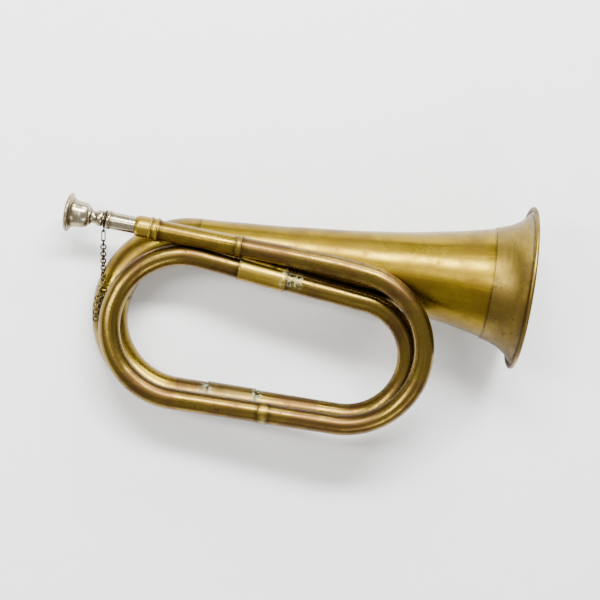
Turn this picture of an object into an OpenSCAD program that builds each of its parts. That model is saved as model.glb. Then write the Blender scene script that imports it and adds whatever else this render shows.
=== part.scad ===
// Twice-wound brass bugle with a chained mouthpiece, lying on its back.
// The horn is laid out in its own frame: +X runs along the bell's axis to the
// mouth, +Y from the coil's middle towards the bell, +Z out of the coil's front.
// The origin of that frame is the centre of the bell's mouth. The last step
// turns and lowers the horn onto the surface that it lies on.

/* [Bell] */
// Length of the bell from its joint with the rear bow to its mouth
bell_len = 227.5; // [215:0.5:240]
// Radius that the bell's narrow end tends to
bell_throat_r = 8.6; // [8.3:0.1:9]
// Growth of the long even taper
bell_taper_r = 35.7; // [35:0.1:36.5]
// Length over which the long taper grows
bell_taper_len = 127; // [124:1:130]
// Growth of the flare at the mouth
bell_flare_r = 9.8; // [9:0.1:10.5]
// Length over which the flare grows
bell_flare_len = 6.5; // [6:0.1:7.2]
// Width of the reinforcing band behind the mouth
garland_len = 24; // [18:1:30]
// Radius of the rolled rim's section
rim_r = 1.6; // [1.3:0.1:2]

/* [Tubing] */
// Thickness of the sheet brass
wall = 0.6; // [0.5:0.1:0.8]
// Outer radius of the mouthpipe
mouthpipe_r = 6.7; // [6.5:0.1:6.9]
// Outer radius of the outer right bow
outer_bow_r = 7; // [6.8:0.1:7.1]
// Outer radius of the front left bow
front_bow_r = 7.4; // [7.2:0.1:7.5]
// Outer radius where the inner right bow begins
inner_bow_r = 7.2; // [7.1:0.1:7.4]
// Outer radius where the inner right bow ends
inner_bow_end_r = 8.5; // [8.2:0.1:8.7]
// Outer radius where the rear left bow begins
rear_bow_r = 10.7; // [10.4:0.1:10.9]
// Length of the two soldered sleeves
sleeve_len = 34; // [30:1:36]

/* [Mouthpiece] */
// Radius of the mouthpiece's rim
cup_rim_r = 13.5; // [13:0.1:14]
// Radius of the cup's mouth
cup_mouth_r = 8.2; // [7.8:0.1:8.6]
// Radius of the throat
throat_r = 2; // [1.8:0.1:2.3]
// Length of the shank inside the receiver
shank_depth = 20; // [18:1:21]

/* [Chain] */
// Ring radius of one chain link, to the middle of its wire
link_r = 1.75; // [1.7:0.05:1.8]
// Radius of the chain's wire
link_wire_r = 0.5; // [0.4:0.05:0.5]
// Number of links from the wire link to the staple
chain_links = 11; // [9:1:11]

/* [Hidden] */
smooth = 96;
fine = 48;
fit_gap = 0.05;
// Gap that the solder fills under what sits on a tube
solder_gap = 0.03;

// Colours
brass = "#b8973f";
aged_brass = "#a58a4e";
bright_brass = "#d2b24a";
nickel = "#c9c3b8";
dark_wire = "#5c5138";

// The pose of the horn on its surface
lie_turn = [1.08, -8.75, 0];
lie_shift = [155.67, 31.54, 56.64];

// Lengths and turns of the tube from the bell back to the mouthpiece
rear_bow_turns = [[54.9, 93.1], [53.3, 87.4]];
rear_run_len = 114.1;
inner_bow_roll = 12.5;
inner_bow_turns = [[43.5, 97.6], [39, 75.5]];
inner_bow_twist = -0.6;
front_upper_len = 119.1;
front_bow_roll = 12.5;
front_bow_turns = [[49.6, 103.7], [49.6, 82.2]];
front_lower_len = 113.9;
outer_bow_roll = 9.2;
outer_bow_turns = [[53.5, 98.5], [52.8, 73.4]];
outer_bow_twist = -4.4;
lead_sweep_turn = [330, 6.4];
lead_len = 54.9;
mouthpipe_len = 58.8;
lap_at = 61;
upper_sleeve_at = 57.5;
lower_sleeve_at = 58.3;

// Small sizes of the fittings
garland_start = 1.2;
sleeve_over = 0.7;
band_inset = 1.2;
bead_r = 0.8;
receiver_len = 17;
receiver_r = 7.4;
receiver_mouth_r = 6.7;
receiver_overlap = 3;
receiver_chamfer = 2.4;
receiver_bead_places = [11, 15.4];
ferrule_len = 4.2;
ferrule_over = 0.3;
ferrule_bead_r = 0.6;
lap_len = 7;
lap_over = 0.35;
post_r = 1.8;
post_sink = 0.25;
bell_stay_turn = 41;
coil_stay_shares = [0.13, 0.8];
upper_stay_share = 0.3;

// The mouthpiece, measured from the receiver's mouth outwards
shank_r = 5.85;
shank_growth = 0.01;
collar_at = 17.4;
groove_at = 19.8;
neck_bead_at = 22.6;
cup_step_at = 31.8;
rim_at = 48.5;
cup_depth = 15;

// The mouthpiece's radii in the same order
backbore_r = 4.6;
collar_r = 6.5;
collar_lip_r = 6.2;
groove_r = 4.8;
neck_bead_foot_r = 4.6;
neck_bead_swell = 1.05;
neck_r = 4.3;
step_r = 5.2;
bowl_foot_r = 6.1;
bowl_swell = 2.9;
flange_foot_r = 9.2;
flange_swell = 3.1;

// The chain and its fittings
ring_r = 5.9;
ring_wire_r = 0.6;
eye_r = 1.2;
eye_wire_r = 0.45;
wire_link_half = 2.7;
wire_link_r = 1.15;
first_ring_r = 2.1;
staple_r = 4;
staple_wire_r = 0.8;
staple_turn = 80.7;
staple_roll = 27;
staple_sink = 0.2;

// A place along the tube is a 4 by 4 matrix: X forward, Y to the bend's centre
function forward(d) = [[1, 0, 0, d], [0, 1, 0, 0], [0, 0, 1, 0], [0, 0, 0, 1]];
function aside(d) = [[1, 0, 0, 0], [0, 1, 0, d], [0, 0, 1, 0], [0, 0, 0, 1]];
function lifted(d) = [[1, 0, 0, 0], [0, 1, 0, 0], [0, 0, 1, d], [0, 0, 0, 1]];
function rolled(a) = [[1, 0, 0, 0], [0, cos(a), -sin(a), 0], [0, sin(a), cos(a), 0], [0, 0, 0, 1]];
function turned(a) = [[cos(a), -sin(a), 0, 0], [sin(a), cos(a), 0, 0], [0, 0, 1, 0], [0, 0, 0, 1]];
function around(bend) = aside(bend[0]) * turned(bend[1]) * aside(-bend[0]);

// Places along the tube, from the bell's joint to the mouthpiece's rim
at_bell = forward(-bell_len) * turned(180);
at_rear_mid = at_bell * around(rear_bow_turns[0]);
at_rear_run = at_rear_mid * around(rear_bow_turns[1]);
at_inner_bow = at_rear_run * forward(rear_run_len) * rolled(inner_bow_roll);
at_inner_mid = at_inner_bow * around(inner_bow_turns[0]) * rolled(inner_bow_twist);
at_front_upper = at_inner_mid * around(inner_bow_turns[1]);
at_front_bow = at_front_upper * forward(front_upper_len) * rolled(front_bow_roll);
at_front_mid = at_front_bow * around(front_bow_turns[0]);
at_front_lower = at_front_mid * around(front_bow_turns[1]);
at_outer_bow = at_front_lower * forward(front_lower_len) * rolled(outer_bow_roll);
at_outer_mid = at_outer_bow * around(outer_bow_turns[0]) * rolled(outer_bow_twist);
at_outer_top = at_outer_mid * around(outer_bow_turns[1]);
at_lead = at_outer_top * around(lead_sweep_turn);
at_ferrule = at_lead * forward(lead_len);
at_receiver = at_ferrule * forward(mouthpipe_len);
at_mouth = at_receiver * forward(receiver_len - receiver_overlap);

// Radius of the bell's outside at a distance behind its mouth
function bell_r(d) = bell_throat_r + bell_taper_r * exp(-d / bell_taper_len)
    + bell_flare_r * exp(-d / bell_flare_len);
bell_small_r = bell_r(bell_len);
bell_mouth_r = bell_r(0);

module lying() {
    translate(lie_shift) rotate(lie_turn) children();
}

module at(place) {
    lying() multmatrix(place) children();
}

// A straight stretch of tube along X, which may widen
module run_tube(len, r_start, r_end) {
    rotate([0, 90, 0]) difference() {
        cylinder(h = len, r1 = r_start, r2 = r_end, $fn = smooth);
        translate([0, 0, -len]) cylinder(h = 3 * len, r1 = 2 * r_start - r_end - wall,
            r2 = 2 * r_end - r_start - wall, $fn = smooth);
    }
}

// A bend of even width that starts along X and turns towards Y
module bend_tube(bend, r) {
    translate([0, bend[0], 0]) rotate([0, 0, -90]) rotate_extrude(angle = bend[1], $fn = smooth)
        translate([bend[0], 0]) difference() {
            circle(r = r, $fn = fine);
            circle(r = r - wall, $fn = fine);
        }
}

// Half of a round bead, sitting on a tube of radius r about the X axis
module half_bead(r, section_r) {
    rotate([0, 90, 0]) rotate_extrude($fn = smooth) translate([r + solder_gap, 0]) intersection() {
        circle(r = section_r, $fn = fine);
        translate([0, -section_r]) square(2 * section_r);
    }
}

// A bend that widens along its way, swept over the places in a list
cone_sides = 32;
function ring_points(place, r) = [for (i = [0 : cone_sides - 1])
    let (a = 360 * i / cone_sides, p = place * [0, r * cos(a), r * sin(a), 1]) [p[0], p[1], p[2]]];
module cone_tube(places, radii) {
    n = len(places);
    outer = [for (k = [0 : n - 1]) each ring_points(places[k], radii[k])];
    inner = [for (k = [0 : n - 1]) each ring_points(places[k], radii[k] - wall)];
    count = n * cone_sides;
    walls = [for (k = [0 : n - 2]) for (i = [0 : cone_sides - 1])
        let (j = (i + 1) % cone_sides, a = k * cone_sides)
        [a + i, a + cone_sides + i, a + cone_sides + j, a + j]];
    ends = [for (k = [0, n - 1]) for (i = [0 : cone_sides - 1])
        let (j = (i + 1) % cone_sides, a = k * cone_sides,
            quad = [a + i, count + a + i, count + a + j, a + j])
        k == 0 ? [quad[3], quad[2], quad[1], quad[0]] : quad];
    lining = [for (f = walls) [for (v = [3 : -1 : 0]) f[v] + count]];
    polyhedron(points = concat(outer, inner), faces = concat(walls, lining, ends), convexity = 6);
}

// Places in even steps along a bow of two bends
bow_steps = 12;
function bow_places(turns, start, middle) = [
    for (k = [0 : bow_steps - 1]) start * around([turns[0][0], turns[0][1] * k / bow_steps]),
    for (k = [0 : bow_steps]) middle * around([turns[1][0], turns[1][1] * k / bow_steps])];
function bow_radii(r_start, r_end) = [for (k = [0 : 2 * bow_steps])
    r_start + (r_end - r_start) * k / (2 * bow_steps)];

// A ring of round section about the X axis
module ring_x(r, section_r) {
    rotate([0, 90, 0]) rotate_extrude($fn = smooth) translate([r, 0]) circle(r = section_r, $fn = fine);
}

// A sleeve about the X axis on a tube that may narrow, with soft edges
module sleeve_x(len, r_start, r_end, thickness) {
    edge = thickness / 2;
    rotate([0, 90, 0]) rotate_extrude($fn = smooth) polygon([
        [r_start + solder_gap, 0], [r_start + thickness - edge, 0], [r_start + thickness, edge],
        [r_end + thickness, len - edge], [r_end + thickness - edge, len], [r_end + solder_gap, len]]);
}

// --- Bell ---------------------------------------------------------------

// Numbers from start to end, which lie closer together near the start
function spaced(start, end, count, crowd) = [for (k = [0 : count])
    start + (end - start) * pow(k / count, crowd)];

// A skin of even thickness that follows the bell's outside
module bell_skin(steps, lift, thickness) {
    outside = [for (d = steps) [bell_r(d) + lift + thickness, d]];
    inside = [for (k = [len(steps) - 1 : -1 : 0]) [bell_r(steps[k]) + lift, steps[k]]];
    lying() rotate([0, -90, 0]) rotate_extrude($fn = smooth) polygon(concat(outside, inside));
}

module bell() {
    color(bright_brass) bell_skin(spaced(0, bell_len, 36, 2), -wall, wall);
}

module garland() {
    color(brass) bell_skin(spaced(garland_start, garland_len, 14, 1.5), solder_gap, wall);
}

module at_rim() {
    lying() rotate([0, -90, 0]) rotate_extrude($fn = smooth)
        translate([bell_mouth_r + rim_r, 0]) children();
}

module rim_bead() {
    color(brass) at_rim() difference() {
        circle(r = rim_r, $fn = fine);
        circle(r = rim_r - wall, $fn = fine);
    }
}

module rim_wire() {
    color(dark_wire) at_rim() circle(r = rim_r - wall - fit_gap, $fn = fine);
}

// --- Tubing, from the bell back to the mouthpiece -----------------------

module rear_bow() {
    color(aged_brass) lying() cone_tube(bow_places(rear_bow_turns, at_bell, at_rear_mid),
        bow_radii(bell_small_r, rear_bow_r));
}

module rear_lower_run() {
    color(aged_brass) at(at_rear_run) run_tube(rear_run_len, rear_bow_r, inner_bow_end_r);
}

module inner_bow() {
    color(aged_brass) lying() cone_tube(bow_places(inner_bow_turns, at_inner_bow, at_inner_mid),
        bow_radii(inner_bow_end_r, inner_bow_r));
}

module front_upper_run() {
    color(aged_brass) at(at_front_upper) run_tube(front_upper_len, inner_bow_r, front_bow_r);
}

module front_bow() {
    color(aged_brass) {
        at(at_front_bow) bend_tube(front_bow_turns[0], front_bow_r);
        at(at_front_mid) bend_tube(front_bow_turns[1], front_bow_r);
    }
}

module front_lower_run() {
    color(aged_brass) at(at_front_lower) run_tube(front_lower_len, front_bow_r, outer_bow_r);
}

module outer_bow() {
    color(aged_brass) {
        at(at_outer_bow) bend_tube(outer_bow_turns[0], outer_bow_r);
        at(at_outer_mid) bend_tube(outer_bow_turns[1], outer_bow_r);
    }
}

module lead_sweep() {
    color(aged_brass) at(at_outer_top) bend_tube(lead_sweep_turn, outer_bow_r);
}

module lead_run() {
    color(aged_brass) at(at_lead) run_tube(lead_len, outer_bow_r, mouthpipe_r);
}

module mouthpipe() {
    color(brass) at(at_ferrule) run_tube(mouthpipe_len, mouthpipe_r, mouthpipe_r);
}

// --- Sleeves, ferrules and the receiver ---------------------------------

module upper_sleeve() {
    r = max(inner_bow_r, front_bow_r);
    color(bright_brass) at(at_front_upper * forward(upper_sleeve_at))
        sleeve_x(sleeve_len, r, r, sleeve_over);
}

module upper_sleeve_bands() {
    r = max(inner_bow_r, front_bow_r) + sleeve_over;
    color(brass) at(at_front_upper * forward(upper_sleeve_at))
        for (d = [band_inset, sleeve_len - band_inset]) translate([d, 0, 0]) half_bead(r, bead_r / 2);
}

module lower_sleeve() {
    slope = (inner_bow_end_r - rear_bow_r) / rear_run_len;
    start = rear_run_len - lower_sleeve_at - sleeve_len;
    r = rear_bow_r + slope * start;
    color(aged_brass) at(at_rear_run * forward(start))
        sleeve_x(sleeve_len, r, r + slope * sleeve_len, sleeve_over);
}

module lap_ferrule() {
    slope = (outer_bow_r - front_bow_r) / front_lower_len;
    r = front_bow_r + slope * lap_at;
    color(brass) at(at_front_lower * forward(lap_at)) sleeve_x(lap_len, r, r + slope * lap_len, lap_over);
}

module mouthpipe_ferrule() {
    color(brass) at(at_ferrule * forward(-ferrule_len / 2)) rotate([0, 90, 0])
        rotate_extrude($fn = smooth) translate([mouthpipe_r, 0]) {
            translate([solder_gap, 0]) square([ferrule_over, ferrule_len]);
            for (d = [ferrule_bead_r, ferrule_len - ferrule_bead_r]) translate([ferrule_over, d])
                intersection() {
                    circle(r = ferrule_bead_r, $fn = fine);
                    translate([solder_gap - ferrule_over, -ferrule_bead_r]) square(2 * ferrule_bead_r);
                }
        }
}

module receiver() {
    bore = shank_r + fit_gap;
    seat = receiver_len - receiver_overlap;
    socket_r = mouthpipe_r + solder_gap;
    color(bright_brass) at(at_mouth) rotate([0, -90, 0]) rotate_extrude($fn = smooth) polygon([
        [bore, 0], [receiver_mouth_r, 0], [receiver_r, receiver_chamfer], [receiver_r, receiver_len],
        [socket_r, receiver_len], [socket_r, seat], [bore - shank_growth * seat, seat]]);
}

module receiver_beads() {
    color(brass) at(at_mouth) for (d = receiver_bead_places) translate([-d, 0, 0])
        half_bead(receiver_r, bead_r);
}

// --- Mouthpiece ---------------------------------------------------------

// Round stretches of the outline, as quarter and half turns of an ellipse
neck_bead_half = 2.2;
neck_points = [for (k = [0 : 8]) let (a = 180 * k / 8)
    [neck_bead_foot_r + neck_bead_swell * sin(a), neck_bead_at + neck_bead_half * (1 - cos(a))]];
bowl_rise = 7;
cup_bowl_points = [for (k = [0 : 6]) let (a = 90 * k / 6)
    [bowl_foot_r + bowl_swell * sin(a), cup_step_at + 0.6 + bowl_rise * (1 - cos(a))]];
flange_rise = 5;
flange_points = [for (k = [0 : 6]) let (a = 90 * k / 6)
    [flange_foot_r + flange_swell * (1 - cos(a)), rim_at - 3 + flange_rise * (sin(a) - 1)]];
cup_steps = 10;
cup_points = [for (k = [0 : cup_steps]) let (a = 90 * k / cup_steps)
    [throat_r + (cup_mouth_r - throat_r) * cos(a), rim_at - 0.6 - cup_depth * sin(a)]];

module mouthpiece() {
    shank_end = -shank_depth;
    color(nickel) at(at_mouth) rotate([0, 90, 0]) rotate_extrude($fn = smooth) polygon(concat(
        [[backbore_r, shank_end], [shank_r + shank_growth * shank_end, shank_end],
            [shank_r + shank_growth * collar_at, collar_at], [collar_r, collar_at + 0.2],
            [collar_r, groove_at - 0.3], [collar_lip_r, groove_at], [groove_r, groove_at + 0.1],
            [groove_r, neck_bead_at]],
        neck_points,
        [[neck_r, neck_bead_at + 5.4], [neck_r, cup_step_at - 1.8], [step_r, cup_step_at - 0.6],
            [bowl_foot_r, cup_step_at]],
        cup_bowl_points,
        flange_points,
        [[cup_rim_r - 0.6, rim_at - 3], [cup_rim_r, rim_at - 2.3], [cup_rim_r, rim_at - 1.4],
            [cup_rim_r - 0.5, rim_at - 0.5], [cup_rim_r - 1.6, rim_at], [cup_mouth_r + 1.2, rim_at],
            [cup_mouth_r + 0.3, rim_at - 0.25]],
        cup_points,
        [[throat_r, cup_step_at - 5]]));
}

// --- Stays soldered between the tubes -----------------------------------

function spot(place) = [place[0][3], place[1][3], place[2][3]];

// A short post between two round tubes, along the line that joins two points of their axes
module post(from, from_r, to, to_r, r) {
    line = to - from;
    len = norm(line);
    unit = line / len;
    start = from + unit * (from_r - post_sink);
    lying() translate(start) rotate([0, acos(unit[2]), atan2(unit[1], unit[0])])
        cylinder(h = len - from_r - to_r + 2 * post_sink, r = r, $fn = fine);
}

module bell_stay() {
    tube = spot(at_outer_mid * around([outer_bow_turns[1][0], bell_stay_turn]));
    color(bright_brass) post([tube[0], 0, 0], bell_r(-tube[0]), tube, outer_bow_r, post_r);
}

module lead_stay() {
    tube = spot(at_lead * forward(lead_len / 2));
    color(brass) post([tube[0], 0, 0], bell_r(-tube[0]), tube, (mouthpipe_r + outer_bow_r) / 2, post_r);
}

function between(start, end, share) = start + (end - start) * share;

// Two posts between the lower runs, and one between the front upper run and the bell
module coil_stays() {
    color(aged_brass) for (share = coil_stay_shares)
        post(spot(at_rear_run * forward(rear_run_len * share)),
            between(rear_bow_r, inner_bow_end_r, share),
            spot(at_front_lower * forward(front_lower_len * share)),
            between(front_bow_r, outer_bow_r, share), post_r);
    tube = spot(at_front_upper * forward(front_upper_len * upper_stay_share));
    color(aged_brass) post([tube[0], 0, 0], bell_r(-tube[0]), tube,
        between(inner_bow_r, front_bow_r, upper_stay_share), post_r);
}

// --- Chain --------------------------------------------------------------

// The staple stands on the rear bow's first bend, whose radius there is staple_tube_r
staple_tube_r = between(bell_small_r, rear_bow_r, staple_turn / rear_bow_turns[0][1] / 2);
at_staple = at_bell * around([rear_bow_turns[0][0], staple_turn]) * rolled(staple_roll)
    * lifted(sqrt(pow(staple_tube_r, 2) - pow(staple_r, 2)) - staple_sink);
at_neck = at_mouth * forward((groove_at + neck_bead_at) / 2);
eye_offset = ring_r + ring_wire_r + eye_r;
at_eye = at_neck * aside(eye_offset);

// A round link about the Z axis
module round_link(r, wire_r) {
    rotate_extrude($fn = fine) translate([r, 0]) circle(r = wire_r, $fn = 24);
}

module chain_staple() {
    color(bright_brass) at(at_staple) rotate([90, 0, 90]) rotate_extrude(angle = 180, $fn = smooth)
        translate([staple_r, 0]) circle(r = staple_wire_r, $fn = 24);
}

module neck_ring() {
    color(dark_wire) {
        at(at_neck) ring_x(ring_r, ring_wire_r);
        at(at_eye) ring_x(eye_r, eye_wire_r);
    }
}

// The chain's line, from the eye's wire to just above and beside the staple's top
chain_end_offset = [1, 3, 2];
chain_start = spot(at_eye * aside(eye_r));
chain_end = spot(at_staple * lifted(staple_r)) + chain_end_offset;
chain_line = (chain_end - chain_start) / norm(chain_end - chain_start);
chain_turn = [0, acos(chain_line[2]), atan2(chain_line[1], chain_line[0])];

// Distances along that line at which each link's middle lies; touching wires stay apart by link_play
link_play = 0.1;
wire_link_at = wire_link_half + link_play / 2;
first_ring_at = wire_link_at + wire_link_half + wire_link_r + first_ring_r
    - eye_wire_r - link_wire_r - link_play;
link_grip = 2 * link_wire_r + link_play;
chain_first_at = first_ring_at + first_ring_r + link_r - link_grip;
link_pitch = 2 * link_r - link_grip;
link_twist = 4;

// Children lie along the chain's line at a distance from its start, and are rolled about it
module on_chain(d, roll) {
    lying() translate(chain_start + chain_line * d) rotate(chain_turn) rotate([0, -90, 0])
        rotate([roll, 0, 0]) children();
}

module wire_link() {
    color(dark_wire) on_chain(wire_link_at, 0) {
        for (side = [-1, 1]) {
            translate([side * wire_link_half, 0, 0]) rotate([0, 0, side * -90])
                rotate_extrude(angle = 180, $fn = fine) translate([wire_link_r, 0])
                    circle(r = eye_wire_r, $fn = 24);
            translate([0, side * wire_link_r, 0]) rotate([0, 90, 0])
                cylinder(h = 2 * wire_link_half, r = eye_wire_r, center = true, $fn = 24);
        }
    }
}

module first_ring() {
    color(dark_wire) on_chain(first_ring_at, 90) round_link(first_ring_r, link_wire_r);
}

module chain() {
    color(dark_wire) for (k = [0 : chain_links - 1])
        on_chain(chain_first_at + k * link_pitch, 90 * (k % 2) + link_twist * k)
            round_link(link_r, link_wire_r);
}

// The spare end: a link round the staple and two strands that lie on the bow
strand_links = 8;
strand_start = 4;
strand_step = 2.12;
strand_spread = 7;
strand_lift = 2.4;
strand_cant = 45;
module chain_tail() {
    color(dark_wire) {
        at(at_staple * lifted(staple_r)) rotate([90, 0, 0]) round_link(link_r, link_wire_r);
        for (side = [-1, 1]) for (k = [0 : strand_links - 1])
            at(at_bell * around([rear_bow_turns[0][0], staple_turn + strand_start + strand_step * k])
                * rolled(staple_roll + side * strand_spread) * lifted(staple_tube_r + strand_lift))
                rotate([strand_cant + 90 * (k % 2), 0, 0]) round_link(link_r, link_wire_r);
    }
}

mouthpiece();
receiver();
receiver_beads();
mouthpipe();
mouthpipe_ferrule();
lead_run();
lead_sweep();
outer_bow();
front_lower_run();
lap_ferrule();
front_bow();
front_upper_run();
upper_sleeve();
upper_sleeve_bands();
inner_bow();
rear_lower_run();
lower_sleeve();
rear_bow();
bell();
garland();
rim_bead();
rim_wire();
bell_stay();
lead_stay();
coil_stays();
chain_staple();
neck_ring();
wire_link();
first_ring();
chain();
chain_tail();
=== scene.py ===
"""Twice-wound brass bugle with a chained mouthpiece, lying on a pale floor.

Lengths are in millimetres in the horn's own frame: +X along the bell's axis to its mouth, +Y from
the coil's middle to the bell, +Z out of the coil's front. LYING lays that frame on the floor, and
piece() turns the result into metres.
"""
import math

import bpy
import numpy as np
from mathutils import Matrix, Vector


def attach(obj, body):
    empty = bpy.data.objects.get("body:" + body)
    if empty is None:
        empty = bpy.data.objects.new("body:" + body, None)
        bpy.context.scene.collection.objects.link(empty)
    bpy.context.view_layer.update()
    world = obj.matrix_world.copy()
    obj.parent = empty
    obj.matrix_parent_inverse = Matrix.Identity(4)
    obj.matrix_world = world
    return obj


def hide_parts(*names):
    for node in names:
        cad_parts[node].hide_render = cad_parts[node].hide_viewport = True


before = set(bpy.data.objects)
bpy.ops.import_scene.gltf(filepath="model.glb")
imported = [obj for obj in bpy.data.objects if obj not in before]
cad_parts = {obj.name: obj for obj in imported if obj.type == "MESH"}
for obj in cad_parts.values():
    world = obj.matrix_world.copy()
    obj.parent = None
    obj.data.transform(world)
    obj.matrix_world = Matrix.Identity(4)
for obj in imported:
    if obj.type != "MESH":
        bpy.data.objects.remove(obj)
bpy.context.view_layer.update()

# ---------------------------------------------------------------- dimensions
BELL_LEN = 227.5
BELL_THROAT_R, BELL_TAPER_R, BELL_TAPER_LEN = 8.6, 35.7, 127.0
BELL_FLARE_R, BELL_FLARE_LEN = 9.8, 6.5
GARLAND_START, GARLAND_LEN, RIM_R, WALL = 1.2, 24.0, 1.6, 0.6
MOUTHPIPE_R, OUTER_BOW_R, FRONT_BOW_R = 6.7, 7.0, 7.4
INNER_BOW_R, INNER_BOW_END_R, REAR_BOW_R = 7.2, 8.5, 10.7
SLEEVE_LEN, SLEEVE_OVER, BEAD_R, BAND_INSET = 34.0, 0.7, 0.8, 1.2
SOLDER_GAP, FIT_GAP = 0.03, 0.05
CUP_RIM_R, CUP_MOUTH_R, THROAT_R, SHANK_DEPTH = 13.5, 8.2, 2.0, 20.0
LINK_R, LINK_WIRE_R, CHAIN_LINKS = 1.75, 0.5, 11

REAR_BOW_TURNS = [(54.9, 93.1), (53.3, 87.4)]
REAR_RUN_LEN = 114.1
INNER_BOW_ROLL, INNER_BOW_TWIST = 12.5, -0.6
INNER_BOW_TURNS = [(43.5, 97.6), (39.0, 75.5)]
FRONT_UPPER_LEN, FRONT_BOW_ROLL = 119.1, 12.5
FRONT_BOW_TURNS = [(49.6, 103.7), (49.6, 82.2)]
FRONT_LOWER_LEN, OUTER_BOW_ROLL, OUTER_BOW_TWIST = 113.9, 9.2, -4.4
OUTER_BOW_TURNS = [(53.5, 98.5), (52.8, 73.4)]
LEAD_SWEEP_TURN, LEAD_LEN, MOUTHPIPE_LEN = (330.0, 6.4), 54.9, 58.8
LAP_AT, LAP_LEN, LAP_OVER = 61.0, 7.0, 0.35
UPPER_SLEEVE_AT, LOWER_SLEEVE_AT = 57.5, 58.3
RECEIVER_LEN, RECEIVER_R, RECEIVER_MOUTH_R, RECEIVER_OVERLAP = 17.0, 7.4, 6.7, 3.0
RECEIVER_CHAMFER, RECEIVER_BEAD_PLACES = 2.4, (11, 15.4)
FERRULE_LEN, FERRULE_OVER, FERRULE_BEAD_R = 4.2, 0.3, 0.6
POST_R, POST_SINK, BELL_STAY_TURN = 1.8, 0.25, 41.0
COIL_STAY_SHARES, UPPER_STAY_SHARE = (0.13, 0.8), 0.3
SHANK_R, SHANK_GROWTH, COLLAR_AT, GROOVE_AT, NECK_BEAD_AT = 5.85, 0.01, 17.4, 19.8, 22.6
CUP_STEP_AT, RIM_AT, CUP_DEPTH, GROOVE_R, COLLAR_R, NECK_R = 31.8, 48.5, 15, 4.8, 6.5, 4.3
NECK_BEAD_FOOT_R, NECK_BEAD_SWELL, NECK_BEAD_HALF = 4.6, 1.05, 2.2
BOWL_FOOT_R, BOWL_SWELL, BOWL_LEN = 6.1, 2.9, 7
FLANGE_FOOT_R, FLANGE_SWELL, FLANGE_LEN = 9.2, 3.1, 5
SHANK_TIP_R, BACKBORE_R = 4.7, 4.6
RING_R, RING_WIRE_R, EYE_R, EYE_WIRE_R = 5.9, 0.6, 1.2, 0.45
WIRE_LINK_HALF, WIRE_LINK_R, FIRST_RING_R = 2.7, 1.15, 2.1
LINK_PLAY, EYE_PLAY, LINK_TWIST, CHAIN_END_OFFSET = 0.1, 0.05, 4, (1, 3, 2)
STAPLE_R, STAPLE_WIRE_R, STAPLE_TURN, STAPLE_ROLL, STAPLE_SINK = 4.0, 0.8, 80.7, 27.0, 0.2
STRAND_LINKS, STRAND_START, STRAND_STEP, STRAND_SPREAD, STRAND_LIFT = 8, 4.0, 2.12, 7.0, 2.4
STRAND_CANT = 45
LIE_TURN = (1.08, -8.75, 0.0)
LIE_SHIFT = (155.67, 31.54, 56.64)
METRES = 0.001
TUBE_SIDES, BELL_SIDES, WIRE_SIDES = 72, 192, 14


# ---------------------------------------------------------------- places
# A place is a 4 x 4 matrix whose X axis runs on along the tube. These move or turn a place.
def forward(d):
    m = np.eye(4)
    m[0, 3] = d
    return m


def aside(d):
    m = np.eye(4)
    m[1, 3] = d
    return m


def lifted(d):
    m = np.eye(4)
    m[2, 3] = d
    return m


def spun(axis, degrees):
    return np.array(Matrix.Rotation(math.radians(degrees), 4, axis))


def around(bend):
    return aside(bend[0]) @ spun("Z", bend[1]) @ aside(-bend[0])


def spot(place):
    return place[:3, 3]


def bell_r(d):
    taper = BELL_TAPER_R * np.exp(-d / BELL_TAPER_LEN)
    return BELL_THROAT_R + taper + BELL_FLARE_R * np.exp(-d / BELL_FLARE_LEN)


BELL_SMALL_R, BELL_MOUTH_R = bell_r(BELL_LEN), bell_r(0.0)
LYING = spun("Y", LIE_TURN[1]) @ spun("X", LIE_TURN[0])
LYING[:3, 3] = LIE_SHIFT

at_horn = np.eye(4)
at_bell = forward(-BELL_LEN) @ spun("Z", 180)
at_rear_mid = at_bell @ around(REAR_BOW_TURNS[0])
at_rear_run = at_rear_mid @ around(REAR_BOW_TURNS[1])
at_inner_bow = at_rear_run @ forward(REAR_RUN_LEN) @ spun("X", INNER_BOW_ROLL)
at_inner_mid = at_inner_bow @ around(INNER_BOW_TURNS[0]) @ spun("X", INNER_BOW_TWIST)
at_front_upper = at_inner_mid @ around(INNER_BOW_TURNS[1])
at_front_bow = at_front_upper @ forward(FRONT_UPPER_LEN) @ spun("X", FRONT_BOW_ROLL)
at_front_mid = at_front_bow @ around(FRONT_BOW_TURNS[0])
at_front_lower = at_front_mid @ around(FRONT_BOW_TURNS[1])
at_outer_bow = at_front_lower @ forward(FRONT_LOWER_LEN) @ spun("X", OUTER_BOW_ROLL)
at_outer_mid = at_outer_bow @ around(OUTER_BOW_TURNS[0]) @ spun("X", OUTER_BOW_TWIST)
at_outer_top = at_outer_mid @ around(OUTER_BOW_TURNS[1])
at_lead = at_outer_top @ around(LEAD_SWEEP_TURN)
at_ferrule = at_lead @ forward(LEAD_LEN)
at_receiver = at_ferrule @ forward(MOUTHPIPE_LEN)
at_mouth = at_receiver @ forward(RECEIVER_LEN - RECEIVER_OVERLAP)
at_neck = at_mouth @ forward((GROOVE_AT + NECK_BEAD_AT) / 2)
at_eye = at_neck @ aside(RING_R + RING_WIRE_R + EYE_R)
staple_share = STAPLE_TURN / REAR_BOW_TURNS[0][1] / 2
staple_tube_r = BELL_SMALL_R + (REAR_BOW_R - BELL_SMALL_R) * staple_share
staple_lift = math.sqrt(staple_tube_r ** 2 - STAPLE_R ** 2) - STAPLE_SINK
at_staple = (at_bell @ around((REAR_BOW_TURNS[0][0], STAPLE_TURN)) @ spun("X", STAPLE_ROLL)
             @ lifted(staple_lift))


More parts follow.
